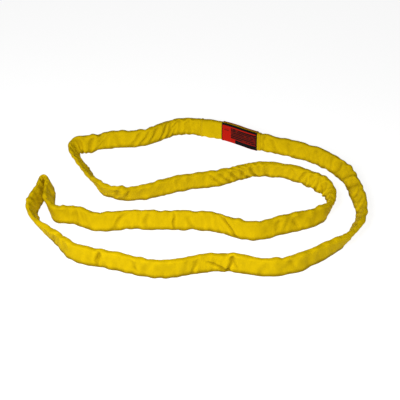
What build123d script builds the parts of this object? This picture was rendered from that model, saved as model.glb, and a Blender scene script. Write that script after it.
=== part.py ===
from build123d import *
import math
import os

import numpy as np

# A soft endless sling laid on the floor as a doubled loop. All sizes are in mm, +Z up, and the origin is on
# the floor under the middle of the object. The flattened sleeve stands on edge all along its route.

# Sleeve section, flattened: a stadium as tall as BAND_HEIGHT and as thick as BAND_THICKNESS
BAND_HEIGHT = 45.0
BAND_THICKNESS = 15.0
CORNER_ANGLES = (0, 36, 72, 108, 144, 180)  # corners of each rounded edge of the section, in degrees

# Layers of the sleeve, each measured inwards from the outer surface: (start, end)
OUTER_COVER = (0.0, 1.0)
INNER_COVER = (1.6, 2.4)
CORE_TAPE = (2.75, 3.25)
CORE = 3.6
YARN_BUNDLES = 4
YARN_GAP = 0.8
BUNDLE_CORNER = 0.8  # how far a bundle's corners are cut off, as a share of half its thickness

# The tight fold at the tip of the front eye, where the sleeve is pressed thinner
FOLD_TIP = (-368.0, 46.0)
FOLD_REACH = 30.0
FOLD_PRESS = 0.3

# The two lines, parallel to Y, where the ends of the loop fold up from the middle part
LEFT_FOLD = -205.0
RIGHT_FOLD = 195.0
FOLD_GAP = 0.4

# The overlap that closes the cover, and the tag sewn over it. Both go round the back strand
CUFF = (11.0, 162.0)
CUFF_LAYER = (-1.2, -0.4)
TAG = (66.0, 154.0)
TAG_BACKING_LAYER = (-2.05, -1.55)
TAG_FACE_LAYER = (-2.7, -2.2)
TAG_BORDER = 5.0
TAG_CORNERS = (4, 13)  # from the front's upper shoulder, down, underneath and up the back
TAG_FACE_CORNERS = (5, 12)
TAG_LIFT = 2.7
TAG_LIFT_RAMP = 60.0
TAPE = (20.0, 45.0)
SEAM_INSET = 4.0
THREAD_WIDTH = 0.8
CUFF_THREAD_LAYER = (-1.8, -1.3)
TAG_THREAD_LAYER = (-2.65, -2.15)

# Stations of the lofts: the route is walked in short steps, and a section is placed where it has turned or
# run far enough. They lie closer together under the overlap and tag, so that those sheets lie evenly.
WALK_STEP = 2.0
TURN_PER_STATION = 12.0
LONGEST_BAY = 50.0
OVERLAP_BAY = 8.0
CLOSEST_STATIONS = 4.0

# The eight strands in the order that the route passes them
STRANDS = (
    "back_strand",
    "outer_bend",
    "front_strand",
    "front_eye",
    "middle_strand",
    "inner_bend",
    "inner_back_strand",
    "back_eye",
)
BACK_STRAND_FROM_Y = 150.0  # the back strand is the only one that lies further back than this

# The band's centre line: x, y, then how far its top edge tips over towards +x and +y (tangent of the tilt)
ROUTE = [
    # back strand, heading +x, with the tag on it
    (-178, 215, 0.0, 0.25),
    (-130, 223, 0.0, 0.25),
    (-82, 251, 0.0, 0.2),
    (-34, 268, 0.0, 0.2),
    (14, 260, 0.0, 0.25),
    (68, 247, 0.0, 0.3),
    (118, 221, 0.0, 0.3),
    (148, 205, 0.0, 0.3),
    (198, 189, 0.0, 0.25),
    (247, 172, 0.1, 0.25),
    (296, 148, 0.15, 0.25),
    # outer bend on the right, tipped outwards
    (343, 108, 0.3, 0.25),
    (370, 68, 0.4, 0.2),
    (384, 12, 0.5, 0.05),
    (392, -38, 0.5, -0.1),
    (389, -82, 0.45, -0.4),
    (370, -128, 0.35, -0.6),
    (343, -167, 0.2, -0.35),
    (294, -206, 0.0, -0.05),
    (247, -238, 0.0, 0.1),
    # front strand, heading -x
    (202, -257, 0.0, 0.1),
    (155, -262, 0.0, 0.1),
    (90, -248, 0.0, 0.15),
    (25, -247, 0.0, 0.15),
    (-25, -259, 0.0, 0.1),
    (-72, -268, 0.0, 0.1),
    (-116, -263, 0.0, 0.1),
    (-172, -245, 0.0, 0.15),
    (-230, -228, 0.0, 0.15),
    (-277, -212, 0.0, 0.15),
    (-301, -191, -0.05, 0.1),
    (-325, -161, -0.15, -0.15),
    # eye on the left in front: up one leg, round a tight fold and down the other, both tipped to -x
    (-352, -132, -0.35, -0.25),
    (-380, -96, -0.5, -0.2),
    (-391, -58, -0.5, -0.1),
    (-384, -16, -0.5, 0.0),
    (-376, 14, -0.4, 0.0),
    (-374, 30, -0.35, 0.0),
    (-373, 41, -0.3, 0.0),
    (-368, 45, -0.3, 0.0),
    (-360, 41, -0.35, 0.0),
    (-356, 30, -0.4, 0.0),
    (-355, 14, -0.45, 0.0),
    (-354, -18, -0.55, 0.0),
    (-349, -52, -0.3, 0.0),
    (-328, -78, 0.0, 0.05),
    (-289, -81, 0.0, 0.2),
    # middle strand, heading +x, tipped back
    (-238, -104, 0.0, 0.35),
    (-192, -100, 0.0, 0.4),
    (-145, -96, 0.0, 0.4),
    (-98, -98, 0.0, 0.4),
    (-5, -99, 0.0, 0.4),
    (42, -106, 0.0, 0.35),
    (90, -126, 0.0, 0.3),
    (136, -137, 0.0, 0.3),
    (183, -123, 0.0, 0.3),
    (230, -106, 0.0, 0.3),
    (278, -88, 0.0, 0.25),
    # inner bend on the right
    (306, -66, 0.1, -0.1),
    (321, -35, 0.25, -0.35),
    (322, -4, 0.35, -0.2),
    (316, 16, 0.3, 0.05),
    (288, 46, 0.2, 0.15),
    (242, 75, 0.05, -0.05),
    # inner back strand, heading -x
    (194, 90, 0.0, -0.1),
    (155, 92, 0.0, -0.15),
    (118, 84, 0.0, -0.15),
    (68, 63, 0.0, 0.05),
    (20, 51, 0.0, 0.05),
    (-28, 41, 0.0, 0.05),
    (-77, 24, 0.0, 0.05),
    (-124, 5, 0.0, -0.1),
    (-172, -1, 0.0, -0.25),
    (-210, 8, 0.0, -0.35),
    # eye on the left behind, tipped outwards
    (-243, 37, -0.25, -0.35),
    (-266, 79, -0.65, -0.45),
    (-286, 119, -0.75, -0.25),
    (-304, 153, -0.75, 0.1),
    (-307, 178, -0.62, 0.22),
    (-297, 191, -0.35, 0.38),
    (-278, 193, 0.0, 0.35),
    (-232, 209, 0.0, 0.3),
]


def route_curve():
    """A closed smooth curve through ROUTE, sampled every WALK_STEP: its rows, as in ROUTE, and headings."""
    points = np.array(ROUTE, float)
    ahead = np.roll(points, -1, axis=0)
    behind = np.roll(points, 1, axis=0)
    chord = np.linalg.norm((ahead - points)[:, :2], axis=1)
    chord_behind = np.roll(chord, 1)
    count = len(points)
    matrix = np.zeros((count, count))
    for i in range(count):
        matrix[i, i - 1] = chord[i]
        matrix[i, i] = 2 * (chord[i] + chord_behind[i])
        matrix[i, (i + 1) % count] = chord_behind[i]
    slope_in = (points - behind) / chord_behind[:, None]
    slope_out = (ahead - points) / chord[:, None]
    slopes = np.linalg.solve(matrix, 3 * (chord[:, None] * slope_in + chord_behind[:, None] * slope_out))
    rows, headings = [], []
    for i in range(count):
        j = (i + 1) % count
        for u in np.arange(0, 1, WALK_STEP / chord[i]):
            rows.append(
                (2 * u**3 - 3 * u**2 + 1) * points[i]
                + (u**3 - 2 * u**2 + u) * chord[i] * slopes[i]
                + (3 * u**2 - 2 * u**3) * points[j]
                + (u**3 - u**2) * chord[i] * slopes[j]
            )
            headings.append(
                (6 * u**2 - 6 * u) * (points[i] - points[j]) / chord[i]
                + (3 * u**2 - 4 * u + 1) * slopes[i]
                + (3 * u**2 - 2 * u) * slopes[j]
            )
    return np.array(rows), np.array(headings)[:, :2]


def tag_lift(x, y):
    """How far the band is raised where it lies on its own overlap and tag."""
    if y < BACK_STRAND_FROM_Y:
        return 0.0
    outside = max(CUFF[0] - x, x - CUFF[1], 0.0)
    share = max(0.0, 1.0 - outside / TAG_LIFT_RAMP)
    return TAG_LIFT * share * share * (3 - 2 * share)


class Station:
    """One place along the band: its middle, the direction up the band and the direction through it."""

    def __init__(self, row, heading, at_fold=False):
        x, y, tip_x, tip_y = row
        along = np.array([heading[0], heading[1], 0.0])
        up = np.array([tip_x, tip_y, 1.0])
        if at_fold:
            along = np.array([math.copysign(1.0, heading[0]), 0.0, 0.0])
            up[0] = 0.0
        self.up = up / np.linalg.norm(up)
        through = np.cross(self.up, along)
        self.through = through / np.linalg.norm(through)
        near_tip = math.exp(-((math.dist((x, y), FOLD_TIP) / FOLD_REACH) ** 2))
        self.half_thickness = BAND_THICKNESS / 2 * (1 - FOLD_PRESS * near_tip)
        self.half_web = (BAND_HEIGHT - BAND_THICKNESS) / 2
        lowest = self.half_web * self.up[2] + BAND_THICKNESS / 2
        self.middle = np.array([x, y, lowest + tag_lift(x, y)])

    def at(self, through, up):
        return self.middle + through * self.through + up * self.up

    def ring(self, inset):
        """Corners of the flattened section, drawn in by inset from the sleeve's outer surface."""
        radius = self.half_thickness - inset
        flat = math.sin(math.radians(CORNER_ANGLES[2]))
        corners = []
        for side in (1, -1):
            for angle in CORNER_ANGLES:
                a = math.radians(angle)
                rise = (BAND_THICKNESS / 2 - inset) * math.sin(a) / flat
                corners.append(self.at(side * radius * math.cos(a), side * (self.half_web + rise)))
        return corners

    def bundle(self, number):
        """Corners of one yarn bundle, counted from the bottom of the core."""
        radius = self.half_thickness - CORE
        core_height = BAND_HEIGHT - 2 * CORE
        height = (core_height - (YARN_BUNDLES - 1) * YARN_GAP) / YARN_BUNDLES
        middle = -core_height / 2 + height / 2 + number * (height + YARN_GAP)
        corner = BUNDLE_CORNER * radius
        outline = [
            (radius, height / 2 - corner), (radius - corner, height / 2),
            (corner - radius, height / 2), (-radius, height / 2 - corner),
            (-radius, corner - height / 2), (corner - radius, -height / 2),
            (radius - corner, -height / 2), (radius, corner - height / 2),
        ]
        return [self.at(through, middle + up) for through, up in outline]


def fold_after(rows, i):
    """The fold line that the route crosses between samples i and i + 1, or None."""
    here, there = rows[i, 0], rows[(i + 1) % len(rows), 0]
    for line in (LEFT_FOLD, RIGHT_FOLD):
        if min(here, there) <= line < max(here, there):
            return line
    return None


def end_station(rows, headings, i, line):
    """The station between samples i and i + 1 that lies exactly on x = line."""
    j = (i + 1) % len(rows)
    share = (line - rows[i, 0]) / (rows[j, 0] - rows[i, 0])
    return Station(rows[i] + share * (rows[j] - rows[i]), headings[i], at_fold=True)


def strand_stations(rows, headings, starts):
    """Stations of the strand that begins where the route crosses a fold line just after sample starts."""
    count = len(rows)
    line = fold_after(rows, starts)
    going = math.copysign(1.0, rows[(starts + 1) % count, 0] - rows[starts, 0])
    stations = [end_station(rows, headings, starts, line + going * FOLD_GAP / 2)]
    turned = run = 0.0
    i = (starts + 1) % count
    while fold_after(rows, i) is None:
        j = (i + 1) % count
        before, after = headings[i], headings[j]
        turned += abs(math.degrees(math.atan2(before[0] * after[1] - before[1] * after[0], before @ after)))
        run += math.dist(rows[i, :2], rows[j, :2])
        on_overlap = tag_lift(*rows[j, :2]) > TAG_LIFT / 2
        if turned > TURN_PER_STATION or run > (OVERLAP_BAY if on_overlap else LONGEST_BAY):
            stations.append(Station(rows[j], after))
            turned = run = 0.0
        i = j
    if run < CLOSEST_STATIONS and len(stations) > 2:
        stations.pop()
    going = math.copysign(1.0, rows[(i + 1) % count, 0] - rows[i, 0])
    stations.append(end_station(rows, headings, i, fold_after(rows, i) - going * FOLD_GAP / 2))
    return stations, i


def loft(outlines):
    """A closed solid through one outline per station."""
    wires = [Wire.make_polygon([tuple(point) for point in outline]) for outline in outlines]
    return Solid.make_loft(wires, ruled=True)


def hose(stations, layer):
    """The wall round the band between two insets, open at both ends."""
    outside = loft([station.ring(layer[0]) for station in stations])
    inside = loft([station.ring(layer[1]) for station in stations])
    return outside - inside


def write(name, *solids):
    shape = solids[0] if len(solids) == 1 else Compound(children=list(solids))
    export_step(shape, f"parts/{name}.step")


def back_strand_station(rows, headings, x):
    """The station of the back strand at x."""
    at = [i for i in range(len(rows)) if rows[i, 1] > BACK_STRAND_FROM_Y]
    at.sort(key=lambda i: rows[i, 0])
    xs = rows[at, 0]
    row = [np.interp(x, xs, rows[at, k]) for k in range(rows.shape[1])]
    heading = [np.interp(x, xs, headings[at, k]) for k in range(2)]
    return Station(row, heading)


def stations_over(rows, headings, span):
    """Stations of the back strand from x = span[0] to x = span[1]."""
    bays = max(1, round((span[1] - span[0]) / OVERLAP_BAY))
    return [back_strand_station(rows, headings, x) for x in np.linspace(*span, bays + 1)]


def thread_stations(rows, headings, x):
    """The two sides of a row of stitches that goes round the band at x."""
    return [back_strand_station(rows, headings, x + side * THREAD_WIDTH / 2) for side in (-1, 1)]


def sheet_round(stations, layer, first, last):
    """A sheet wrapped round the band from ring corner first to ring corner last, leaving the rest open."""
    outlines = []
    for station in stations:
        outer, inner = station.ring(layer[0]), station.ring(layer[1])
        count = len(outer)
        kept = [k % count for k in range(first, last + 1)]
        outlines.append([outer[k] for k in kept] + [inner[k] for k in reversed(kept)])
    return loft(outlines)


def main():
    os.makedirs("parts", exist_ok=True)
    rows, headings = route_curve()
    route_length = sum(math.dist(a, b) for a, b in zip(rows[:, :2], np.roll(rows, -1, axis=0)[:, :2]))
    print(f"route length {route_length:.0f} mm")
    at_left_fold = [i for i in range(len(rows)) if fold_after(rows, i) == LEFT_FOLD]
    start = next(i for i in at_left_fold if rows[i, 1] > BACK_STRAND_FROM_Y)
    for strand in STRANDS:
        stations, start = strand_stations(rows, headings, start)
        write(f"outer_cover_{strand}", hose(stations, OUTER_COVER))
        write(f"inner_cover_{strand}", hose(stations, INNER_COVER))
        bundles = [loft([station.bundle(number) for station in stations]) for number in range(YARN_BUNDLES)]
        write(f"core_yarns_{strand}", *bundles)

    write("cover_overlap_cuff", hose(stations_over(rows, headings, CUFF), CUFF_LAYER))
    seams = (CUFF[0] + SEAM_INSET, CUFF[1] - SEAM_INSET)
    write("cuff_stitching", *[hose(thread_stations(rows, headings, x), CUFF_THREAD_LAYER) for x in seams])
    write("tag_backing", sheet_round(stations_over(rows, headings, TAG), TAG_BACKING_LAYER, *TAG_CORNERS))
    face = (TAG[0] + TAG_BORDER, TAG[1] - TAG_BORDER)
    write("tag_face", sheet_round(stations_over(rows, headings, face), TAG_FACE_LAYER, *TAG_FACE_CORNERS))
    threads = []
    for x in (TAG[0] + TAG_BORDER / 2, TAG[1] - TAG_BORDER / 2):
        threads.append(sheet_round(thread_stations(rows, headings, x), TAG_THREAD_LAYER, *TAG_FACE_CORNERS))
    write("tag_stitching", *threads)
    write("core_end_tape", hose(stations_over(rows, headings, TAPE), CORE_TAPE))


main()
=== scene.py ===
import math

import bpy
import numpy as np
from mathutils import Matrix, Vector


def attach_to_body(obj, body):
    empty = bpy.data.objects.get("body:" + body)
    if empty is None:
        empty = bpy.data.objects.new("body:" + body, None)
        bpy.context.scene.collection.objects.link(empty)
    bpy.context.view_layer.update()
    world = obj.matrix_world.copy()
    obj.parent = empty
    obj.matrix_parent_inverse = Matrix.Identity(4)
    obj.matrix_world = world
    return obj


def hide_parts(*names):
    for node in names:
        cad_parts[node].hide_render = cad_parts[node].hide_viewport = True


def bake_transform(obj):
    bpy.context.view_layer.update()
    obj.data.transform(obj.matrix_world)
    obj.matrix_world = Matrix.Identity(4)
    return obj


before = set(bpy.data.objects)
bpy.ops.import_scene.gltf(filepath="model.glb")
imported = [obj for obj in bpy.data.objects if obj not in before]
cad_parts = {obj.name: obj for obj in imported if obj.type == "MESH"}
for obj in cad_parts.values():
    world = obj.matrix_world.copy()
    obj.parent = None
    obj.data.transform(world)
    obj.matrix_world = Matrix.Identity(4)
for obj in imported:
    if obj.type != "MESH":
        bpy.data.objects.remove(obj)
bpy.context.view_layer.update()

# ---------------------------------------------------------------- the sleeve's route and section, in metres

BAND_HEIGHT = 0.045
BAND_THICKNESS = 0.015
FOLD_TIP = (-0.368, 0.046)
FOLD_REACH = 0.030
FOLD_PRESS = 0.3
CUFF = (0.011, 0.162)
TAG = (0.066, 0.154)
TAG_LIFT = 0.0027
TAG_LIFT_RAMP = 0.060
BACK_STRAND_FROM_Y = 0.150
ROUTE_STEP = 0.001

# x, y, then how far the band's top edge tips over towards +x and +y, as the tangent of the tilt
ROUTE = [
    # back strand, heading +x, with the tag on it
    (-0.178, 0.215, 0.0, 0.25),
    (-0.130, 0.223, 0.0, 0.25),
    (-0.082, 0.251, 0.0, 0.2),
    (-0.034, 0.268, 0.0, 0.2),
    (0.014, 0.260, 0.0, 0.25),
    (0.068, 0.247, 0.0, 0.3),
    (0.118, 0.221, 0.0, 0.3),
    (0.148, 0.205, 0.0, 0.3),
    (0.198, 0.189, 0.0, 0.25),
    (0.247, 0.172, 0.1, 0.25),
    (0.296, 0.148, 0.15, 0.25),
    # outer bend on the right, tipped outwards
    (0.343, 0.108, 0.3, 0.25),
    (0.370, 0.068, 0.4, 0.2),
    (0.384, 0.012, 0.5, 0.05),
    (0.392, -0.038, 0.5, -0.1),
    (0.389, -0.082, 0.45, -0.4),
    (0.370, -0.128, 0.35, -0.6),
    (0.343, -0.167, 0.2, -0.35),
    (0.294, -0.206, 0.0, -0.05),
    (0.247, -0.238, 0.0, 0.1),
    # front strand, heading -x
    (0.202, -0.257, 0.0, 0.1),
    (0.155, -0.262, 0.0, 0.1),
    (0.090, -0.248, 0.0, 0.15),
    (0.025, -0.247, 0.0, 0.15),
    (-0.025, -0.259, 0.0, 0.1),
    (-0.072, -0.268, 0.0, 0.1),
    (-0.116, -0.263, 0.0, 0.1),
    (-0.172, -0.245, 0.0, 0.15),
    (-0.230, -0.228, 0.0, 0.15),
    (-0.277, -0.212, 0.0, 0.15),
    (-0.301, -0.191, -0.05, 0.1),
    (-0.325, -0.161, -0.15, -0.15),
    # eye on the left in front: up one leg, round a tight fold and down the other, both tipped to -x
    (-0.352, -0.132, -0.35, -0.25),
    (-0.380, -0.096, -0.5, -0.2),
    (-0.391, -0.058, -0.5, -0.1),
    (-0.384, -0.016, -0.5, 0.0),
    (-0.376, 0.014, -0.4, 0.0),
    (-0.374, 0.030, -0.35, 0.0),
    (-0.373, 0.041, -0.3, 0.0),
    (-0.368, 0.045, -0.3, 0.0),
    (-0.360, 0.041, -0.35, 0.0),
    (-0.356, 0.030, -0.4, 0.0),
    (-0.355, 0.014, -0.45, 0.0),
    (-0.354, -0.018, -0.55, 0.0),
    (-0.349, -0.052, -0.3, 0.0),
    (-0.328, -0.078, 0.0, 0.05),
    (-0.289, -0.081, 0.0, 0.2),
    # middle strand, heading +x, tipped back
    (-0.238, -0.104, 0.0, 0.35),
    (-0.192, -0.100, 0.0, 0.4),
    (-0.145, -0.096, 0.0, 0.4),
    (-0.098, -0.098, 0.0, 0.4),
    (-0.005, -0.099, 0.0, 0.4),
    (0.042, -0.106, 0.0, 0.35),
    (0.090, -0.126, 0.0, 0.3),
    (0.136, -0.137, 0.0, 0.3),
    (0.183, -0.123, 0.0, 0.3),
    (0.230, -0.106, 0.0, 0.3),
    (0.278, -0.088, 0.0, 0.25),
    # inner bend on the right
    (0.306, -0.066, 0.1, -0.1),
    (0.321, -0.035, 0.25, -0.35),
    (0.322, -0.004, 0.35, -0.2),
    (0.316, 0.016, 0.3, 0.05),
    (0.288, 0.046, 0.2, 0.15),
    (0.242, 0.075, 0.05, -0.05),
    # inner back strand, heading -x
    (0.194, 0.090, 0.0, -0.1),
    (0.155, 0.092, 0.0, -0.15),
    (0.118, 0.084, 0.0, -0.15),
    (0.068, 0.063, 0.0, 0.05),
    (0.020, 0.051, 0.0, 0.05),
    (-0.028, 0.041, 0.0, 0.05),
    (-0.077, 0.024, 0.0, 0.05),
    (-0.124, 0.005, 0.0, -0.1),
    (-0.172, -0.001, 0.0, -0.25),
    (-0.210, 0.008, 0.0, -0.35),
    # eye on the left behind, tipped outwards
    (-0.243, 0.037, -0.25, -0.35),
    (-0.266, 0.079, -0.65, -0.45),
    (-0.286, 0.119, -0.75, -0.25),
    (-0.304, 0.153, -0.75, 0.10),
    (-0.307, 0.178, -0.62, 0.22),
    (-0.297, 0.191, -0.35, 0.38),
    (-0.278, 0.193, 0.0, 0.35),
    (-0.232, 0.209, 0.0, 0.3),
]


def route_curve(step):
    """A closed smooth curve through ROUTE, sampled about every step: rows of (x, y, tip x, tip y)."""
    points = np.array(ROUTE, float)
    ahead = np.roll(points, -1, axis=0)
    behind = np.roll(points, 1, axis=0)
    chord = np.linalg.norm((ahead - points)[:, :2], axis=1)
    chord_behind = np.roll(chord, 1)
    count = len(points)
    matrix = np.zeros((count, count))
    for i in range(count):
        matrix[i, i - 1] = chord[i]
        matrix[i, i] = 2 * (chord[i] + chord_behind[i])
        matrix[i, (i + 1) % count] = chord_behind[i]
    slope_in = (points - behind) / chord_behind[:, None]
    slope_out = (ahead - points) / chord[:, None]
    slopes = np.linalg.solve(matrix, 3 * (chord[:, None] * slope_in + chord_behind[:, None] * slope_out))
    rows = []
    for i in range(count):
        j = (i + 1) % count
        for u in np.arange(0, 1, step / chord[i]):
            rows.append(
                (2 * u**3 - 3 * u**2 + 1) * points[i]
                + (u**3 - 2 * u**2 + u) * chord[i] * slopes[i]
                + (3 * u**2 - 2 * u**3) * points[j]
                + (u**3 - u**2) * chord[i] * slopes[j]
            )
    return np.array(rows)


# ---------------------------------------------------------------- the sleeve as a grid of rows and columns

STEP = 0.003
AROUND = 36
SEAM_X = 0.011
WAVE_TERMS = 24


def unit(v):
    return v / np.linalg.norm(v, axis=-1, keepdims=True)


def smooth_step(t):
    t = np.clip(t, 0, 1)
    return t * t * (3 - 2 * t)


def waves(s, total, shortest, longest, seed):
    """A smooth random function of s, closed over total, from -1 to 1, of wavelengths in a range."""
    random = np.random.default_rng(seed)
    value = np.zeros_like(s)
    counts = np.unique(np.linspace(total / longest, total / shortest, WAVE_TERMS).astype(int))
    for count in counts:
        value += random.normal() * np.sin(2 * np.pi * (count * s / total + random.random()))
    return value / max(1e-9, np.abs(value).max())


class Band:
    """The route as arrays, from the overlap seam all the way round: middle, up the band and through it."""

    def __init__(self):
        rows = route_curve(ROUTE_STEP)
        on_back = (rows[:, 1] > BACK_STRAND_FROM_Y) & (np.roll(rows[:, 0], -1) > rows[:, 0])
        first = int(np.argmin(np.abs(rows[:, 0] - SEAM_X) + np.where(on_back, 0, 9)))
        rows = np.roll(rows, -first, axis=0)
        closed = np.vstack([rows, rows[:1]])
        run = np.concatenate([[0], np.cumsum(np.linalg.norm(np.diff(closed[:, :2], axis=0), axis=1))])
        self.length = run[-1]
        self.count = int(round(self.length / STEP))
        self.s = np.arange(self.count) * self.length / self.count
        rows = np.stack([np.interp(self.s, run, closed[:, k]) for k in range(4)], axis=1)
        self.xy = rows[:, :2]
        ahead = np.roll(rows, -1, axis=0)[:, :2] - np.roll(rows, 1, axis=0)[:, :2]
        along = unit(np.c_[ahead, np.zeros(self.count)])
        self.along = along
        self.up = unit(np.c_[rows[:, 2:], np.ones(self.count)])
        self.through = unit(np.cross(self.up, along))
        near_tip = np.exp(-((np.hypot(*(self.xy - FOLD_TIP).T) / FOLD_REACH) ** 2))
        self.half_thickness = BAND_THICKNESS / 2 * (1 - FOLD_PRESS * near_tip)
        self.half_web = np.full(self.count, (BAND_HEIGHT - BAND_THICKNESS) / 2)
        outside = np.maximum(np.maximum(CUFF[0] - self.xy[:, 0], self.xy[:, 0] - CUFF[1]), 0)
        lift = TAG_LIFT * smooth_step(1 - outside / TAG_LIFT_RAMP) * (self.xy[:, 1] > BACK_STRAND_FROM_Y)
        self.lowest = self.half_web * self.up[:, 2] + BAND_THICKNESS / 2 + lift
        self.middle = np.c_[self.xy, self.lowest]

    def nearest(self, x, y):
        return int(np.argmin(np.hypot(*(self.xy - (x, y)).T)))


def section(count):
    """Columns of a stadium section as (through, web, rise), scaled later, and the section's girth."""
    radius, web = BAND_THICKNESS / 2, (BAND_HEIGHT - BAND_THICKNESS) / 2
    quarter = math.pi * radius / 2
    total = 4 * (quarter + web)
    columns = []
    for k in range(count):
        d = k / count * total
        side, d = divmod(d, total / 2)
        flip = 1 if side == 0 else -1
        if d < web:
            place = (1, d / web, 0)
        elif d < web + 2 * quarter:
            a = (d - web) / radius
            place = (math.cos(a), 1, math.sin(a))
        else:
            place = (-1, (total / 2 - d) / web, 0)
        columns.append([flip * c for c in place])
    return np.array(columns), total


BAND = Band()
COLUMNS, GIRTH = section(AROUND)


def band_surface(half_web, half_thickness, half_rise, columns):
    """The section's columns set round the band: an array of rows x columns x 3."""
    through, web, rise = columns.T
    sideways = half_thickness[:, None] * through
    upwards = half_web[:, None] * web + half_rise[:, None] * rise
    return (
        BAND.middle[:, None]
        + sideways[..., None] * BAND.through[:, None]
        + upwards[..., None] * BAND.up[:, None]
    )


# ---------------------------------------------------------------- settling of a slack sleeve

SETTLING_PASSES = 160
FURTHEST_IN = 0.0035
FURTHEST_OUT = 0.0030
HOLD = 0.015
BEND_STIFFNESS = 0.25
SHEAR_STIFFNESS = 0.4
SLACK = 0.03
GATHERED_SLACK = 0.07
SETTLING_SEED = 5
FIRST_ROUGHNESS = 0.0006
LOWEST_Z = 0.0002
# Where the cover is gathered up on the core: x, y, and how far along the sleeve it reaches
GATHERS = [
    (0.285, 0.056, 0.045),
    (0.322, -0.004, 0.040),
    (0.110, 0.081, 0.060),
    (-0.060, 0.260, 0.060),
    (-0.299, 0.190, 0.040),
    (-0.292, 0.117, 0.050),
    (-0.212, 0.004, 0.030),
    (-0.370, 0.045, 0.050),
]


def pull(a, b, rest, stiffness):
    """Moves two arrays of points half-way each towards being rest apart."""
    d = b - a
    length = np.linalg.norm(d, axis=-1, keepdims=True)
    move = d * (0.5 * stiffness * (length - rest) / np.maximum(length, 1e-9))
    a += move
    b -= move


def pairs_along(p, reach, rest, stiffness):
    """Pulls each point and the one reach rows on, in turns so that no point is in two pairs at once."""
    rows = len(p)
    for first in range(2 * reach):
        a = np.arange(first, rows - reach, 2 * reach)
        pa, pb = p[a], p[a + reach]
        pull(pa, pb, rest[a], stiffness)
        p[a], p[a + reach] = pa, pb


def pairs_round(p, reach, rest, stiffness):
    """The same round the sleeve, which is closed."""
    columns = p.shape[1]
    for first in range(2 * reach):
        a = np.arange(first, columns, 2 * reach)
        b = (a + reach) % columns
        pa, pb = p[:, a], p[:, b]
        pull(pa, pb, rest, stiffness)
        p[:, a], p[:, b] = pa, pb


def pairs_across(p, turn, rest, stiffness):
    """Pulls the diagonals of the quads, one way for turn 1 and the other for turn -1."""
    for first in range(2):
        a = np.arange(first, len(p) - 1, 2)
        pa, pb = p[a], np.roll(p[a + 1], -turn, axis=1)
        pull(pa, pb, rest[a], stiffness)
        p[a], p[a + 1] = pa, np.roll(pb, turn, axis=1)


def normals_of(p):
    """Outward unit normals of a grid that is open along and closed round."""
    along = np.gradient(p, axis=0)
    around = np.roll(p, -1, axis=1) - np.roll(p, 1, axis=1)
    return unit(np.cross(around, along))


def gathered(s):
    """From 0 to about 1, how much the cover is gathered up on the core at distances s along it."""
    total = np.zeros(len(s))
    for x, y, reach in GATHERS:
        gap = np.abs(s - BAND.s[BAND.nearest(x, y)])
        total += np.exp(-((np.minimum(gap, BAND.length - gap) / reach) ** 2))
    return np.minimum(total, 1)


def settled(surface):
    """The sleeve pushed along its core so that it is slack, then let go, so that it puckers."""
    p = surface.copy()
    out = normals_of(surface)
    rows, columns = p.shape[:2]
    spacing = BAND.length / BAND.count
    slack = SLACK + (GATHERED_SLACK - SLACK) * gathered(BAND.s[:rows])
    shape = np.linalg.norm(np.diff(surface, axis=0), axis=-1)
    shape = np.vstack([shape, shape[-1:]])
    along = np.maximum(spacing * (1 + slack)[:, None], shape)[..., None]
    around = GIRTH / columns
    diagonal = np.sqrt(along**2 + around**2)
    random = np.random.default_rng(SETTLING_SEED)
    rough = random.normal(size=(rows, columns))
    for _ in range(2):
        rough = (np.roll(rough, 1, 0) + rough + np.roll(rough, -1, 0)) / 3
        rough = (np.roll(rough, 1, 1) + 2 * rough + np.roll(rough, -1, 1)) / 4
    p += out * (FIRST_ROUGHNESS * rough / rough.std())[..., None]
    ends = p[[0, -1]].copy()
    for _ in range(SETTLING_PASSES):
        pairs_along(p, 1, along, 1.0)
        pairs_round(p, 1, around, 1.0)
        pairs_across(p, 1, diagonal, SHEAR_STIFFNESS)
        pairs_across(p, -1, diagonal, SHEAR_STIFFNESS)
        pairs_along(p, 2, along * 2, BEND_STIFFNESS)
        pairs_along(p, 3, along * 3, BEND_STIFFNESS / 2)
        p += HOLD * (surface - p)
        depth = ((p - surface) * out).sum(-1)
        p += out * (np.clip(depth, -FURTHEST_IN, FURTHEST_OUT) - depth)[..., None]
        p[..., 2] = np.maximum(p[..., 2], LOWEST_Z)
        p[[0, -1]] = ends
    return p


# ---------------------------------------------------------------- the finished surface of the cover

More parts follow.
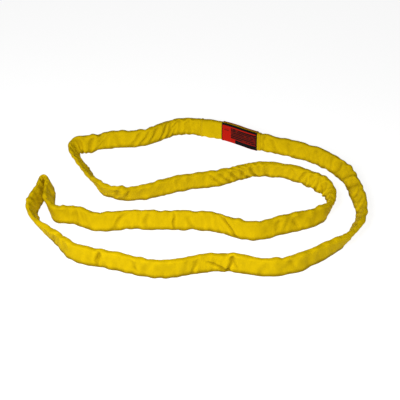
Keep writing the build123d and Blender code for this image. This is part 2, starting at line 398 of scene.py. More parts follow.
# Creases, listed: x, y, direction the creased side faces, lean (along the sleeve per unit of height),
# depth inwards (a ridge if negative), width, height of its middle above the sleeve's middle, and reach
# up and down
FRONT, LEFT, RIGHT, TOP = (0, -1, 0.2), (-1, 0, 0.2), (1, 0, 0.2), (0, 0, 1)
CREASES = [
    # middle strand
    (-0.184, -0.100, FRONT, 0.8, 0.0035, 0.0075, 0.000, 0.020),
    (-0.118, -0.097, FRONT, 0.15, 0.0042, 0.0070, 0.002, 0.018),
    (-0.128, -0.097, FRONT, 0.5, -0.0014, 0.0070, 0.004, 0.016),
    (-0.054, -0.098, FRONT, 0.05, 0.0042, 0.0036, 0.002, 0.020),
    (-0.046, -0.098, FRONT, 0.05, -0.0012, 0.0050, 0.002, 0.018),
    (-0.016, -0.099, FRONT, -0.5, 0.0026, 0.0063, -0.002, 0.014),
    (0.079, -0.122, FRONT, -0.9, 0.0048, 0.0060, 0.000, 0.022),
    (0.066, -0.117, FRONT, -0.9, -0.0016, 0.0070, 0.004, 0.018),
    (0.186, -0.122, FRONT, 0.4, 0.0026, 0.0063, 0.004, 0.014),
    (0.231, -0.106, FRONT, -0.4, 0.0029, 0.0063, 0.000, 0.016),
    (-0.290, -0.077, FRONT, 0.3, 0.0032, 0.0088, -0.004, 0.016),
    # front strand
    (-0.222, -0.230, FRONT, 0.2, 0.0052, 0.0050, 0.002, 0.018),
    (-0.211, -0.233, FRONT, 0.5, -0.0019, 0.0075, 0.004, 0.018),
    (-0.140, -0.255, FRONT, -0.4, 0.0029, 0.0063, 0.004, 0.014),
    (-0.006, -0.254, FRONT, 0.4, 0.0029, 0.0063, 0.000, 0.018),
    (0.078, -0.248, FRONT, 0.25, 0.0065, 0.0042, 0.002, 0.026),
    (0.047, -0.247, FRONT, -1.6, 0.0040, 0.0070, -0.006, 0.014),
    (0.088, -0.248, FRONT, -0.35, 0.0042, 0.0056, 0.004, 0.018),
    (0.066, -0.247, FRONT, 0.0, -0.0026, 0.0075, 0.000, 0.020),
    (0.215, -0.253, FRONT, -0.5, 0.0029, 0.0075, 0.002, 0.016),
    (-0.330, -0.164, FRONT, 0.5, 0.0029, 0.0075, 0.000, 0.018),
    # back strand: diagonal crinkles, and the collar where it leaves the eye
    (-0.154, 0.219, FRONT, 0.7, 0.0035, 0.0063, 0.002, 0.018),
    (-0.132, 0.223, FRONT, 0.8, 0.0032, 0.0050, 0.000, 0.018),
    (-0.110, 0.233, FRONT, 0.7, 0.0035, 0.0050, 0.002, 0.018),
    (-0.088, 0.248, FRONT, 0.6, 0.0029, 0.0050, 0.000, 0.018),
    (-0.064, 0.259, FRONT, 0.8, 0.0032, 0.0050, 0.002, 0.018),
    (-0.036, 0.268, FRONT, 0.3, 0.0022, 0.0063, 0.002, 0.016),
    (-0.270, 0.193, FRONT, 0.2, 0.0045, 0.0063, 0.000, 0.024),
    (-0.258, 0.197, FRONT, 0.1, -0.0035, 0.0088, 0.004, 0.022),
    (-0.200, 0.212, FRONT, -0.5, 0.0026, 0.0075, 0.000, 0.016),
    (0.196, 0.189, FRONT, -0.5, 0.0029, 0.0063, 0.002, 0.016),
    (0.232, 0.178, FRONT, -0.2, 0.0026, 0.0063, 0.002, 0.016),
    # inner back strand: a raised pinch, and slanted pleats before the bend
    (-0.179, -0.003, FRONT, 0.3, -0.0048, 0.0075, 0.008, 0.014),
    (-0.166, -0.003, FRONT, 0.3, 0.0035, 0.0050, 0.006, 0.018),
    (-0.192, -0.001, FRONT, 0.3, 0.0032, 0.0050, 0.004, 0.018),
    (-0.236, 0.020, FRONT, 0.0, -0.0026, 0.0075, 0.008, 0.012),
    (0.045, 0.057, FRONT, -0.9, 0.0029, 0.0050, 0.000, 0.018),
    (0.068, 0.063, FRONT, -0.9, 0.0032, 0.0050, 0.000, 0.018),
    (0.090, 0.072, FRONT, -0.8, 0.0032, 0.0050, 0.000, 0.018),
    (0.112, 0.082, FRONT, -0.7, 0.0035, 0.0050, 0.000, 0.018),
    (0.134, 0.090, FRONT, -0.5, 0.0029, 0.0050, 0.000, 0.018),
    # back strand again, near the label's right end and beyond it
    (0.168, 0.198, FRONT, 0.1, 0.0030, 0.0045, 0.002, 0.020),
    (0.250, 0.172, FRONT, 0.5, -0.0022, 0.0070, 0.002, 0.018),
    (0.296, 0.150, FRONT, 0.3, 0.0028, 0.0060, 0.004, 0.018),
    # outer bend
    (0.338, 0.110, LEFT, 0.1, -0.0035, 0.0060, 0.010, 0.018),
    (0.350, 0.095, LEFT, 0.2, 0.0040, 0.0070, 0.004, 0.020),
    (0.374, 0.052, LEFT, 0.9, -0.0040, 0.0065, 0.004, 0.022),
    (0.381, 0.030, LEFT, 0.7, 0.0038, 0.0080, 0.002, 0.022),
    (0.386, 0.000, LEFT, -0.3, 0.0029, 0.0075, 0.004, 0.020),
    (0.390, -0.052, LEFT, 0.3, 0.0032, 0.0075, 0.004, 0.020),
    # front eye
    (-0.388, -0.078, LEFT, 0.2, 0.0029, 0.0075, 0.006, 0.018),
    (-0.391, -0.040, LEFT, -0.2, -0.0035, 0.0112, 0.014, 0.012),
    (-0.384, 0.004, LEFT, 0.3, 0.0032, 0.0063, 0.004, 0.020),
    (-0.346, -0.040, RIGHT, 0.3, 0.0032, 0.0063, 0.000, 0.020),
    (-0.354, 0.000, RIGHT, -0.3, 0.0029, 0.0063, 0.002, 0.020),
    # back eye
    (-0.298, 0.132, RIGHT, 0.2, 0.0035, 0.0050, 0.004, 0.020),
    (-0.287, 0.104, RIGHT, 0.0, 0.0035, 0.0050, 0.002, 0.020),
    (-0.279, 0.088, RIGHT, 0.2, 0.0032, 0.0050, 0.000, 0.020),
    (-0.262, 0.055, RIGHT, 0.3, 0.0032, 0.0063, 0.004, 0.018),
    # bumps and dips of the top edge
    (-0.262, 0.196, TOP, 0.0, -0.0030, 0.0080, 0.020, 0.020),
    (-0.246, 0.203, TOP, 0.0, 0.0026, 0.0070, 0.020, 0.020),
    (-0.178, -0.003, TOP, 0.0, -0.0034, 0.0060, 0.020, 0.020),
    (-0.163, -0.003, TOP, 0.0, 0.0022, 0.0080, 0.020, 0.020),
    (-0.236, 0.020, TOP, 0.0, -0.0026, 0.0070, 0.020, 0.020),
    (-0.253, 0.040, TOP, 0.0, -0.0022, 0.0070, 0.020, 0.020),
    (0.060, -0.247, TOP, 0.0, 0.0026, 0.0120, 0.020, 0.020),
    (0.085, -0.248, TOP, 0.0, -0.0024, 0.0100, 0.020, 0.020),
    (-0.225, -0.229, TOP, 0.0, 0.0018, 0.0100, 0.020, 0.020),
    (-0.180, -0.099, TOP, 0.0, 0.0016, 0.0100, 0.020, 0.020),
    (-0.316, -0.076, TOP, 0.0, -0.0024, 0.0080, 0.020, 0.020),
    (-0.292, -0.077, TOP, 0.0, -0.0020, 0.0070, 0.020, 0.020),
    (-0.305, -0.077, TOP, 0.0, 0.0018, 0.0060, 0.020, 0.020),
    (0.196, -0.119, TOP, 0.0, -0.0020, 0.0080, 0.020, 0.020),
    (0.232, -0.105, TOP, 0.0, -0.0016, 0.0080, 0.020, 0.020),
    (0.290, 0.048, TOP, 0.0, -0.0024, 0.0060, 0.020, 0.020),
    (0.308, 0.035, TOP, 0.0, -0.0020, 0.0060, 0.020, 0.020),
    (0.155, 0.092, TOP, 0.0, -0.0020, 0.0080, 0.020, 0.020),
    (0.386, 0.003, TOP, 0.0, -0.0026, 0.0080, 0.020, 0.020),
    (0.362, 0.072, TOP, 0.0, -0.0022, 0.0080, 0.020, 0.020),
    (-0.391, -0.045, TOP, 0.0, -0.0026, 0.0080, 0.020, 0.020),
    (-0.388, -0.075, TOP, 0.0, 0.0020, 0.0080, 0.020, 0.020),
]
# Rows of pleats inside the bends: first and last (x, y), direction, how many, depth
PLEATS = [
    ((0.306, -0.066), (0.242, 0.075), LEFT, 15, 0.0021),
    ((-0.308, 0.154), (-0.262, 0.060), RIGHT, 9, 0.0018),
    ((0.378, 0.030), (0.372, -0.131), LEFT, 12, 0.0006),
]
PLEAT_WIDTH = 0.0032
PLEAT_REACH = 0.020
PLEAT_SEED = 8
# How much the pleats' spacing, lean and height vary, as standard deviations, and the range of their depth
PLEAT_SPACING_VARIES, PLEAT_LEAN, PLEAT_HEIGHT = 0.25, 0.35, 0.004
PLEAT_DEPTH_RANGE = (0.6, 1.2)
# A side counts as facing a direction from this cosine on, fully so this much further
FACING_FROM, FACING_RAMP = 0.1, 0.5
# How far each crease wanders along the sleeve, over what length, and its phase per metre of x
CREASE_WANDER, WANDER_LENGTH, WANDER_PHASE = 0.0012, 0.0045, 300


def facing(out, direction):
    """From 0 to 1, how much of each point's outward side faces a direction."""
    return smooth_step((out @ unit(np.array(direction, float)) - FACING_FROM) / FACING_RAMP)


def rows_apart(s, at):
    """Signed distance along the sleeve from a place on it, the short way round."""
    gap = s - at
    return (gap + BAND.length / 2) % BAND.length - BAND.length / 2


def crease(out, s, up_from_middle, where, direction, lean, depth, width, height, reach):
    """How far a crease moves each point outwards."""
    near = BAND.nearest(*where)
    sense = 1 if BAND.along[near, 0] >= 0 else -1
    gap = rows_apart(s, BAND.s[near])[:, None] * sense - lean * (up_from_middle - height)
    gap = gap + CREASE_WANDER * np.sin(up_from_middle / WANDER_LENGTH + where[0] * WANDER_PHASE)
    amount = np.exp(-((gap / width) ** 2)) * np.exp(-(((up_from_middle - height) / reach) ** 4))
    return -depth * amount * facing(out, direction)


def upsampled(p, axis):
    """Twice as many points along a closed axis, the new ones on a smooth curve through the old."""
    before, after, beyond = np.roll(p, 1, axis), np.roll(p, -1, axis), np.roll(p, -2, axis)
    middle = (9 * (p + after) - before - beyond) / 16
    shape = [n * (2 if k == axis else 1) for k, n in enumerate(p.shape)]
    return np.stack([p, middle], axis=axis + 1).reshape(shape)


def x_of(s):
    return np.interp(s, BAND.s, BAND.xy[:, 0])


def under_tag(s, ramp):
    """1 on the back strand under the tag, falling to 0 over ramp."""
    outside = np.maximum(np.maximum(TAG[0] - x_of(s), x_of(s) - TAG[1]), 0)
    on_back = np.interp(s, BAND.s, (BAND.xy[:, 1] > BACK_STRAND_FROM_Y).astype(float))
    return smooth_step(1 - outside / ramp) * on_back


def closed_normals(p):
    """Outward unit normals of a grid that is closed both ways."""
    along = np.roll(p, -1, axis=0) - np.roll(p, 1, axis=0)
    around = np.roll(p, -1, axis=1) - np.roll(p, 1, axis=1)
    return unit(np.cross(around, along))


# How much fuller the two strands in front are, from what y on, and over what distance that comes in
FULLER, FULLER_FROM_Y, FULLER_RAMP = 0.06, -0.055, 0.03
SHOULDER = 0.72
# How much the sleeve's height and thickness vary along it, with the shortest and longest wave and the seed
HEIGHT_VARIES, HEIGHT_WAVES = 0.09, (0.026, 0.130, 11)
THICKNESS_VARIES, THICKNESS_WAVES = 0.18, (0.030, 0.130, 12)
# Where the sleeve lies flatter: x, y, reach along it, and by what share
THINNER = [
    (-0.386, -0.050, 0.100, 0.34),
    (-0.368, 0.044, 0.040, 0.10),
    (-0.353, -0.020, 0.050, 0.30),
    (-0.300, 0.130, 0.080, 0.34),
    (-0.255, 0.055, 0.050, 0.25),
    (0.374, 0.060, 0.080, 0.20),
    (0.390, -0.050, 0.080, 0.25),
    (0.321, -0.010, 0.050, 0.20),
]
# How much of the settling's puckers is kept, on the straight and where gathered
PUCKER, GATHERED_PUCKER = 0.30, 0.60
# How far the cover swells and ripples, with the shortest and longest dents of each and their seeds
SWELL, RIPPLE = 0.0014, 0.00015
SWELL_DENTS, RIPPLE_DENTS = (0.022, 0.090, 21), (0.008, 0.020, 22)
DENT_TERMS, DENT_TURNS_ROUND, DENT_LIMIT = 90, 3, 2.5
# Under the tag the cover is calmer: by what share and over what ramp, for its swells and for its creases
CALM, CALM_RAMP = 0.8, 0.020
CREASE_CALM, CREASE_CALM_RAMP = 0.9, 0.010


def dents(rows, columns, shortest, longest, seed):
    """Smooth random dents and swells over the closed grid, mostly within 1, of lengths in a range."""
    random = np.random.default_rng(seed)
    s, u = np.arange(rows)[:, None] / rows, np.arange(columns)[None] / columns
    field = np.zeros((rows, columns))
    for _ in range(DENT_TERMS):
        turns = int(BAND.length / math.exp(random.uniform(math.log(shortest), math.log(longest))))
        turns_round = random.integers(-DENT_TURNS_ROUND, DENT_TURNS_ROUND + 1)
        field += np.sin(2 * np.pi * (turns * s + turns_round * u + random.random()))
    return field / (DENT_LIMIT * field.std())


half_web = BAND.half_web * (1 + HEIGHT_VARIES * waves(BAND.s, BAND.length, *HEIGHT_WAVES))
half_thickness = BAND.half_thickness * (1 + THICKNESS_VARIES * waves(BAND.s, BAND.length, *THICKNESS_WAVES))
fuller = FULLER * smooth_step((FULLER_FROM_Y - BAND.xy[:, 1]) / FULLER_RAMP)
half_web = half_web * (1 + fuller)
half_thickness = half_thickness * (1 + fuller)
calm = 1 - CALM * under_tag(BAND.s, CALM_RAMP)
half_web = BAND.half_web + (half_web - BAND.half_web) * calm
half_thickness = BAND.half_thickness + (half_thickness - BAND.half_thickness) * calm
half_rise = half_thickness.copy()
for x, y, reach, thinner in THINNER:
    gap = np.abs(BAND.s - BAND.s[BAND.nearest(x, y)])
    half_thickness *= 1 - thinner * np.exp(-((np.minimum(gap, BAND.length - gap) / reach) ** 2))
rounded = band_surface(half_web, half_thickness, half_rise, COLUMNS)
# The pressed sleeve has squarer shoulders than the rounded section that settles well
square = COLUMNS.copy()
square[:, [0, 2]] = np.sign(square[:, [0, 2]]) * np.abs(square[:, [0, 2]]) ** SHOULDER
NOMINAL = band_surface(half_web, half_thickness, half_rise, square)
cover = NOMINAL + settled(rounded) - rounded
pucker = PUCKER + (GATHERED_PUCKER - PUCKER) * gathered(BAND.s)
cover = NOMINAL + (cover - NOMINAL) * (pucker * calm)[:, None, None]
swell = SWELL * dents(*cover.shape[:2], *SWELL_DENTS) + RIPPLE * dents(*cover.shape[:2], *RIPPLE_DENTS)
cover = cover + (swell * calm[:, None])[..., None] * closed_normals(NOMINAL)

FINE = 2
fine_s = BAND.s
nominal = NOMINAL
if FINE == 2:
    cover = upsampled(upsampled(cover, 0), 1)
    nominal = upsampled(upsampled(NOMINAL, 0), 1)
    fine_s = np.arange(BAND.count * 2) * BAND.length / (BAND.count * 2)
centre = nominal.mean(axis=1)
up = unit(np.stack([np.interp(fine_s, BAND.s, BAND.up[:, k]) for k in range(3)], axis=1))
up_from_middle = ((nominal - centre[:, None]) * up[:, None]).sum(-1)

out = closed_normals(nominal)
move = np.zeros(cover.shape[:2])
for x, y, *shape in CREASES:
    move += crease(out, fine_s, up_from_middle, (x, y), *shape)
random = np.random.default_rng(PLEAT_SEED)
for first, last, direction, count, depth in PLEATS:
    start, end = BAND.s[BAND.nearest(*first)], BAND.s[BAND.nearest(*last)]
    for k in range(count):
        at = start + (end - start) * (k + 0.5 + PLEAT_SPACING_VARIES * random.normal()) / count
        lean, height = PLEAT_LEAN * random.normal(), PLEAT_HEIGHT * random.normal()
        gap = rows_apart(fine_s, at)[:, None] - lean * (up_from_middle - height)
        amount = np.exp(-((gap / PLEAT_WIDTH) ** 2))
        amount = amount * np.exp(-(((up_from_middle - height) / PLEAT_REACH) ** 4))
        move -= depth * random.uniform(*PLEAT_DEPTH_RANGE) * amount * facing(out, direction)
move *= (1 - CREASE_CALM * under_tag(fine_s, CREASE_CALM_RAMP))[:, None]
cover = cover + out * move[..., None]
cover[..., 2] = np.maximum(cover[..., 2], LOWEST_Z)
NORMALS = closed_normals(cover)


# Painted shade in the cover's colour: darker in hollows deeper than their surroundings, and darker near the
# floor where contact shadow falls
SHADE_PASSES, SHADE_DEPTH = 10, 0.0018
FLOOR_SHADE, FLOOR_SHADE_TOP, FLOOR_SHADE_RAMP = 2.6, 0.0150, 0.0130


def smoothed(field, passes):
    for _ in range(passes):
        field = (np.roll(field, 1, 0) + 2 * field + np.roll(field, -1, 0)) / 4
        field = (np.roll(field, 1, 1) + 2 * field + np.roll(field, -1, 1)) / 4
    return field


depth = ((cover - nominal) * out).sum(-1)
# Painted shade in the creases: how much deeper each point lies than its smoothed surroundings
PAINTED_SHADE = np.clip((smoothed(depth, SHADE_PASSES * FINE) - depth) / SHADE_DEPTH, -1, 1)
# Painted contact shadow: darker towards the floor
PAINTED_SHADE = PAINTED_SHADE + FLOOR_SHADE * smooth_step((FLOOR_SHADE_TOP - cover[..., 2]) / FLOOR_SHADE_RAMP)

# ---------------------------------------------------------------- materials


RIB, RIB_BUMP, RIB_DEPTH = 0.0012, 0.35, 0.25
CROSS_YARN_SHARE = 0.5
MOTTLE_SCALE, MOTTLE_DETAIL = 38, 5
MOTTLE_FROM, MOTTLE_TO = 0.26, 0.58
# How strongly the painted shade of creases and floor darkens the colour
PAINTED_SHADE_DARKENS = 0.26
BRIGHT_UP_TO = 0.35


def material(name, color, roughness, specular=0.3):
    """A plain material, with its nodes, links and shader."""
    m = bpy.data.materials.new(name)
    m.use_nodes = True
    shader = m.node_tree.nodes["Principled BSDF"]
    shader.inputs["Base Color"].default_value = (*color, 1)
    shader.inputs["Roughness"].default_value = roughness
    shader.inputs["Specular IOR Level"].default_value = specular
    return m, m.node_tree.nodes, m.node_tree.links, shader


def fabric(name, bright, dark):
    """Woven polyester: fine ribs and cross yarns as bump, mottled a little, and darkened by painted shade
    in the creases and near the floor.
    """
    m, nodes, links, shader = material(name, bright, 0.80, 0.04)
    uv = nodes.new("ShaderNodeUVMap")
    uv.uv_map = "UVMap"
    height = None
    for direction in ("X", "Y"):
        wave = nodes.new("ShaderNodeTexWave")
        wave.bands_direction = direction
        wave.inputs["Scale"].default_value = 2 * math.pi / (20 * RIB)
        wave.inputs["Distortion"].default_value = 0.6
        wave.inputs["Detail"].default_value = 1
        links.new(uv.outputs[0], wave.inputs["Vector"])
        if height is None:
            height = wave
        else:
            mixed = nodes.new("ShaderNodeMath")
            mixed.operation = "MULTIPLY_ADD"
            mixed.inputs[1].default_value = CROSS_YARN_SHARE
            links.new(wave.outputs["Fac"], mixed.inputs[0])
            links.new(height.outputs["Fac"], mixed.inputs[2])
            height = mixed
    node = nodes.new("ShaderNodeBump")
    node.inputs["Strength"].default_value = RIB_BUMP
    node.inputs["Distance"].default_value = RIB * RIB_DEPTH
    links.new(height.outputs[0], node.inputs["Height"])
    links.new(node.outputs[0], shader.inputs["Normal"])
    position = nodes.new("ShaderNodeTexCoord")
    noise = nodes.new("ShaderNodeTexNoise")
    noise.inputs["Scale"].default_value = MOTTLE_SCALE
    noise.inputs["Detail"].default_value = MOTTLE_DETAIL
    links.new(position.outputs["Object"], noise.inputs["Vector"])
    # Painted shade: the vertex attribute of crease and floor darkening
    painted_shade = nodes.new("ShaderNodeAttribute")
    painted_shade.attribute_name = "painted_shade"
    total = nodes.new("ShaderNodeMath")
    total.operation = "MULTIPLY_ADD"
    total.inputs[1].default_value = PAINTED_SHADE_DARKENS
    mottle = nodes.new("ShaderNodeMapRange")
    mottle.inputs["To Min"].default_value = MOTTLE_FROM
    mottle.inputs["To Max"].default_value = MOTTLE_TO
    links.new(noise.outputs["Fac"], mottle.inputs["Value"])
    links.new(painted_shade.outputs["Fac"], total.inputs[0])
    links.new(mottle.outputs["Result"], total.inputs[2])
    ramp = nodes.new("ShaderNodeValToRGB")
    ramp.color_ramp.elements[0].position = BRIGHT_UP_TO
    ramp.color_ramp.elements[0].color = (*bright, 1)
    # The dark end stands for both random mottle and painted shade
    ramp.color_ramp.elements[1].color = (*dark, 1)
    links.new(total.outputs[0], ramp.inputs["Fac"])
    links.new(ramp.outputs["Color"], shader.inputs["Base Color"])
    return m


# Each fabric's darker colour is where random mottle and painted shade lead
COVER_FABRIC = fabric("yellow_woven_cover", (0.53, 0.360, 0.0), (0.22, 0.14, 0.0))
LINER_FABRIC = fabric("yellow_woven_liner", (0.72, 0.50, 0.02), (0.40, 0.26, 0.01))
YARN = material("off_white_yarn", (0.80, 0.78, 0.72), 0.8)[0]
THREAD = material("brown_thread", (0.26, 0.13, 0.008), 0.7)[0]
BLACK_THREAD = material("black_thread", (0.012, 0.012, 0.014), 0.7)[0]
TAG_BLACK = material("tag_black", (0.004, 0.004, 0.004), 0.7, 0.05)[0]
TAG_RED = material("tag_red", (0.38, 0.007, 0.002), 0.7, 0.05)[0]
TAG_MAROON = material("tag_maroon", (0.12, 0.006, 0.003), 0.7, 0.05)[0]
CORE_TAPE = material("core_tape_film", (0.60, 0.60, 0.55), 0.4)[0]

# ---------------------------------------------------------------- meshes


def mesh_object(name, vertices, faces, materials, normals=None, uvs=None, painted_shade=None, face_materials=None):
    """A smooth mesh of quads, with per-vertex normals, UVs and painted shade, and a material for each face.
    """
    mesh = bpy.data.meshes.new(name)
    mesh.vertices.add(len(vertices))
    mesh.vertices.foreach_set("co", np.asarray(vertices, np.float32).ravel())
    faces = np.asarray(faces, np.int32)
    mesh.loops.add(faces.size)
    mesh.loops.foreach_set("vertex_index", faces.ravel())
    mesh.polygons.add(len(faces))
    mesh.polygons.foreach_set("loop_start", np.arange(len(faces), dtype=np.int32) * 4)
    mesh.polygons.foreach_set("loop_total", np.full(len(faces), 4, np.int32))
    for m in materials:
        mesh.materials.append(m)
    if face_materials is not None:
        mesh.polygons.foreach_set("material_index", np.asarray(face_materials, np.int32))
    mesh.polygons.foreach_set("use_smooth", np.ones(len(faces), bool))
    mesh.update(calc_edges=True)
    if uvs is not None:
        layer = mesh.uv_layers.new(name="UVMap")
        layer.data.foreach_set("uv", np.asarray(uvs, np.float32)[faces.ravel()].ravel())
    # Painted shade goes in as a vertex attribute that the fabric reads
    if painted_shade is not None:
        attribute = mesh.attributes.new("painted_shade", "FLOAT", "POINT")
        attribute.data.foreach_set("value", np.asarray(painted_shade, np.float32).ravel())
    if normals is not None:
        mesh.normals_split_custom_set_from_vertices(np.asarray(normals, np.float32).reshape(-1, 3))
    obj = bpy.data.objects.new(name, mesh)
    bpy.context.scene.collection.objects.link(obj)
    return obj


def tube_faces(rows, columns, first=0):
    """Outward faces of a tube of rows x columns points, closed round."""
    i, k = np.meshgrid(np.arange(rows - 1), np.arange(columns), indexing="ij")
    j, m = i + 1, (k + 1) % columns
    quads = np.stack([i * columns + k, i * columns + m, j * columns + m, j * columns + k], -1)
    return quads.reshape(-1, 4) + first


def patch_faces(rows, columns):
    """Outward faces of an open patch of rows x columns points."""
    i, k = np.meshgrid(np.arange(rows - 1), np.arange(columns - 1), indexing="ij")
    j, m = i + 1, k + 1
    quads = np.stack([i * columns + k, i * columns + m, j * columns + m, j * columns + k], -1)
    return quads.reshape(-1, 4)


# Borders of the pieces, where the cover starts to fold, and the ends of the fold: x at the left and right
LEFT_BORDER, RIGHT_BORDER = -0.170, 0.165
PIECES = [
    ("back_strand", "mid_section"),
    ("outer_bend", "right_bight"),
    ("front_strand", "mid_section"),
    ("front_eye", "front_eye"),
    ("middle_strand", "mid_section"),
    ("inner_bend", "right_bight"),
    ("inner_back_strand", "mid_section"),
    ("back_eye", "back_eye"),
]


def border_rows(x):
    """Rows where the sleeve passes the borders, in order from the seam."""
    found = []
    for border in (LEFT_BORDER, RIGHT_BORDER):
        side = x - border
        found += [i for i in range(len(x)) if side[i] * side[(i + 1) % len(x)] < 0]
    return sorted(found)


fine_x = x_of(fine_s)
ROWS = len(fine_s)
CUTS = border_rows(fine_x)
# The back strand runs from the last cut, past the seam, to the first
SPANS = [(CUTS[-1] - ROWS, CUTS[0])] + [(CUTS[k], CUTS[k + 1]) for k in range(len(CUTS) - 1)]


def attach(obj, body, cad):
    """Gives a piece its body: a middle piece rides on the middle part, any other is baked in place without
    a body; the CAD parts it replaces are hidden.
    """
    if body == "mid_section":
        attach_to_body(obj, body)
    elif body == "right_bight":
        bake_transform(obj)
    else:
        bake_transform(obj)
    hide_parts(*cad)


def tube_piece(name, points, normals, span, mats, painted_shade=None):
    """The part of a closed grid from one border row to the next, as a piece of its own."""
    rows = np.arange(span[0], span[1] + 1) % len(points)
    columns = points.shape[1]
    along = np.arange(span[0], span[1] + 1) * BAND.length / len(points)
    around = np.arange(columns) / columns * GIRTH
    uv = np.stack(np.meshgrid(along, around, indexing="ij"), -1).reshape(-1, 2)
    return mesh_object(
        name,
        points[rows].reshape(-1, 3),
        tube_faces(len(rows), columns),
        mats,
        normals[rows],
        uv,
        None if painted_shade is None else painted_shade[rows],
    )


LINER_INSET = 0.0013
TAPE_INSET = 0.0017
YARN_CLEARANCE = 0.0008
YARN_WIDEST = 0.004  # the most that a bundle reaches to either side of the sleeve's middle
YARN_SMALLEST = 0.0002
YARN_GAP = 0.0002
YARN_BUNDLES = 4
YARN_COLUMNS = 10
TAPE = (0.020, 0.045)

COARSE, COARSE_OUT = cover[::FINE, ::FINE], out[::FINE, ::FINE]
LINER = COARSE - LINER_INSET * COARSE_OUT
COARSE_SPANS = [(a // FINE, b // FINE) for a, b in SPANS]


def yarn_bundles():
    """The core's bundles, one above the other, each as thick as the liner leaves room for."""
    middle = LINER.mean(axis=1)
    across = ((LINER - middle[:, None]) * BAND.through[:, None]).sum(-1)
    height = ((LINER - middle[:, None]) * BAND.up[:, None]).sum(-1)
    tall = height.max(axis=1) - 3 * YARN_CLEARANCE
    angles = 2 * np.pi * np.arange(YARN_COLUMNS) / YARN_COLUMNS
    bundles = []
    for b in range(YARN_BUNDLES):
        level = tall * ((2 * b + 1) / YARN_BUNDLES - 1)
        beside = np.abs(height - level[:, None]) < (tall / YARN_BUNDLES)[:, None] + YARN_CLEARANCE
        near = np.where(beside & (across > 0), across, YARN_WIDEST).min(axis=1)
        far = np.where(beside & (across < 0), -across, YARN_WIDEST).min(axis=1)
        half = np.maximum((near + far) / 2 - YARN_CLEARANCE, YARN_SMALLEST)
        sideways = ((near - far) / 2)[:, None] + half[:, None] * np.cos(angles)
        upwards = level[:, None] + (tall / YARN_BUNDLES - YARN_GAP)[:, None] * np.sin(angles)
        offset = sideways[..., None] * BAND.through[:, None] + upwards[..., None] * BAND.up[:, None]
        bundles.append(middle[:, None] + offset)
    return bundles


bundles = yarn_bundles()
for (strand, body), span, coarse_span in zip(PIECES, SPANS, COARSE_SPANS):
    # The cover pieces carry the painted shade of creases and floor
    piece = tube_piece(f"sleeve_{strand}", cover, NORMALS, span, [COVER_FABRIC], PAINTED_SHADE)
    attach(piece, body, [f"outer_cover_{strand}"])
    piece = tube_piece(f"liner_{strand}", LINER, COARSE_OUT, coarse_span, [LINER_FABRIC])
    attach(piece, body, [f"inner_cover_{strand}"])
    rows = np.arange(coarse_span[0], coarse_span[1] + 1) % len(COARSE)
    points = np.concatenate([bundle[rows].reshape(-1, 3) for bundle in bundles])
    faces = [tube_faces(len(rows), YARN_COLUMNS, b * len(rows) * YARN_COLUMNS) for b in range(YARN_BUNDLES)]
    piece = mesh_object(f"yarns_{strand}", points, np.concatenate(faces), [YARN])
    attach(piece, body, [f"core_yarns_{strand}"])

# ---------------------------------------------------------------- what is sewn round the back strand

CUFF_OUTER, CUFF_INNER = 0.0010, 0.0003
HEM_WIDTH, HEM_RISE, HEM_RAMP = 0.0045, 0.0005, 0.0015
LIP_THINNER, LIP_WIDTH = 0.35, 0.0012
CUFF_ROWS = 110
CUFF_WITHIN_S = 0.35  # the cuff and the tag lie within this distance of the seam
TAG_BACKING = (0.0021, 0.0016)
TAG_FACE = (0.0026, 0.0022)
# Each sheet's width along the sleeve and length round it
TAG_BACKING_AROUND = (0.285, 1.226)
TAG_FACE_AROUND = (0.330, 1.2520)
TAG_FRONT_BOTTOM = 0.665
TAG_SIDE = 0.0022
CELL = 0.0008
CURL, CURL_WIDTH = 0.0006, 0.0025
TAG_WAVE, TAG_WAVE_LENGTH, TAG_WAVES_ROUND = 0.00012, 0.009, 21
SEAM_INSET = 0.004
STITCH, STITCH_GAP, STITCH_RADIUS = 0.0030, 0.0012, 0.0004
STITCH_SIDES, STITCH_RISE = 6, 0.0001
STITCH_PROFILE = (0.02, 0.75, 1, 1, 0.75, 0.02)  # its thickness from end to end
CUFF_STITCH_LIFT, TAG_STITCH_LIFT, TAG_STITCH_INSET = 0.0001, 0.0006, 0.0005


def on_grid(grid, s, u):
    """Points of a closed grid at distances s along it and shares u of the way round it."""
    rows, columns = grid.shape[:2]
    r, c = np.asarray(s) / BAND.length * rows, np.asarray(u) * columns
    i, k = np.floor(r).astype(int), np.floor(c).astype(int)
    fr, fc = (r - i)[..., None], (c - k)[..., None]
    i, j, k, m = i % rows, (i + 1) % rows, k % columns, (k + 1) % columns
    this_column = grid[i, k] * (1 - fr) + grid[j, k] * fr
    next_column = grid[i, m] * (1 - fr) + grid[j, m] * fr
    return this_column * (1 - fc) + next_column * fc


def raised(grid, s, u, offset):
    """Points of a grid moved outwards by offset."""
    return on_grid(grid, s, u) + offset[..., None] * on_grid(out, s, u)


def s_at(x):
    """Distance from the seam of a place on the back strand under the cuff."""
    under = BAND.s < CUFF_WITHIN_S
    return np.interp(x, BAND.xy[under, 0], BAND.s[under])


def shell(outer, inner, closed_round):
    """A thin closed shell between two patches: vertices and faces, the outer patch's faces first."""
    rows, columns = outer.shape[:2]
    ring = np.concatenate([outer, inner[::-1]])
    points = ring.reshape(-1, 3)
    if closed_round:
        faces = tube_faces(2 * rows, columns)
        i, k = 2 * rows - 1, np.arange(columns)
        m = (k + 1) % columns
        last = np.stack([i * columns + k, i * columns + m, m, k], -1)
        return points, np.concatenate([faces, last])
    faces = patch_faces(2 * rows, columns)
    k = np.arange(columns - 1)
    last = (2 * rows - 1) * columns
    closing = np.stack([last + k, last + k + 1, k + 1, k], -1)
    i = np.arange(rows - 1)
    under, under_next = 2 * rows - 1 - i, 2 * rows - 2 - i
    first_side = np.stack([i, i + 1, under_next, under], -1) * columns
    last_side = np.stack([under, under_next, i + 1, i], -1) * columns + columns - 1
    return points, np.concatenate([faces, closing, first_side, last_side])


